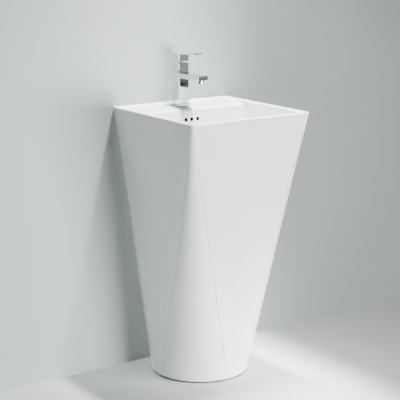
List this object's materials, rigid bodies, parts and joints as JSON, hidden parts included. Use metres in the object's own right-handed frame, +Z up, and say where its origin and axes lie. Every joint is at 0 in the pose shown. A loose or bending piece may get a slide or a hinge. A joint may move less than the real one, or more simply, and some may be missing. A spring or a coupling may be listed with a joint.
{
  "type": "pedestal sink",
  "caption": "Free-standing ceramic wash basin in one piece with its pedestal: square top tapering to a round foot, rear deck with a square single-lever mixer tap, click waste and bottle trap.",
  "frame": {"origin": "on the floor, under the centre of the square top", "axes": "+Z up, +Y to the wall behind the basin, +X to the user's right"},
  "size_m": [0.43, 0.43, 1.0075],
  "materials": {
    "vitreous_china": "white glaze, glossy",
    "sealant": "matt grey silicone bead",
    "zinc_plated_steel": "zinc plated",
    "stainless_steel": "plain",
    "nylon": "natural",
    "chrome": "polished plating on brass",
    "brass": "turned",
    "copper": null,
    "epdm_rubber": "moulded, matt",
    "alumina": "lapped",
    "grey_plastic": "moulded",
    "white_plastic": "moulded"
  },
  "bodies": {
    "basin": {"basin_pedestal": "vitreous_china", "floor_seal": "sealant", "wall_stud_left": "zinc_plated_steel", "wall_stud_right": "zinc_plated_steel", "stud_sleeve_left": "nylon", "stud_sleeve_right": "nylon", "stud_washer_left": "nylon", "stud_washer_right": "nylon", "stud_nut_left": "zinc_plated_steel", "stud_nut_right": "zinc_plated_steel", "tap_base_plate": "chrome", "tap_base_gasket": "epdm_rubber", "mixer_body": "chrome", "tap_stud": "brass", "clamp_washer": "epdm_rubber", "clamp_plate": "zinc_plated_steel", "clamp_nut": "brass", "hot_supply_tail": "copper", "cold_supply_tail": "copper", "hot_tail_nut": "brass", "cold_tail_nut": "brass", "aerator_housing": "chrome", "aerator_insert": "white_plastic", "aerator_seal": "epdm_rubber", "cartridge_housing": "grey_plastic", "fixed_disc": "alumina", "cartridge_nut": "brass", "cartridge_cover": "chrome", "waste_body": "chrome", "flange_seal": "epdm_rubber", "backnut_seal": "epdm_rubber", "waste_backnut": "brass", "click_sleeve": "white_plastic", "click_nut": "brass", "click_spring": "stainless_steel", "inlet_washer": "epdm_rubber", "dip_tube": "chrome", "trap_inlet_nut": "chrome", "trap_body": "chrome", "neck_nut": "chrome", "neck_washer": "epdm_rubber", "cup_seal": "epdm_rubber", "trap_cup": "chrome", "outlet_nut": "chrome", "outlet_washer": "epdm_rubber", "outlet_pipe": "chrome", "wall_flange": "chrome"},
    "turret": {"turret": "grey_plastic", "stem_pin": "stainless_steel"},
    "disc": {"moving_disc": "alumina", "disc_carrier": "grey_plastic"},
    "lever": {"lever_stem": "stainless_steel", "lever_handle": "chrome", "grub_screw": "stainless_steel", "index_cap": "white_plastic"},
    "plug": {"waste_plug": "chrome", "plug_seal": "epdm_rubber", "plug_stem": "brass"}
  },
  "joints": [
    {"name": "handle_turn", "type": "hinge", "parent": "basin", "child": "turret", "pos_m": [0, 0.162, 0.96], "axis": [0, 0, 1], "range_deg": [-45, 45]},
    {"name": "lever_lift", "type": "hinge", "parent": "turret", "child": "lever", "pos_m": [0, 0.162, 0.96], "axis": [-1, 0, 0], "range_deg": [0, 20]},
    {"name": "disc_slide", "type": "slide", "parent": "turret", "child": "disc", "axis": [0, -1, 0], "range_m": [0, 0.0034]},
    {"name": "plug_press", "type": "slide", "parent": "basin", "child": "plug", "axis": [0, 0, -1], "range_m": [0, 0.008], "stiffness_N_per_m": 300, "springref_m": -0.01, "deforming": ["click_spring"]}
  ],
  "couplings": [
    {"joint": "disc_slide", "follows": "lever_lift", "m_per_rad": 0.0095}
  ]
}
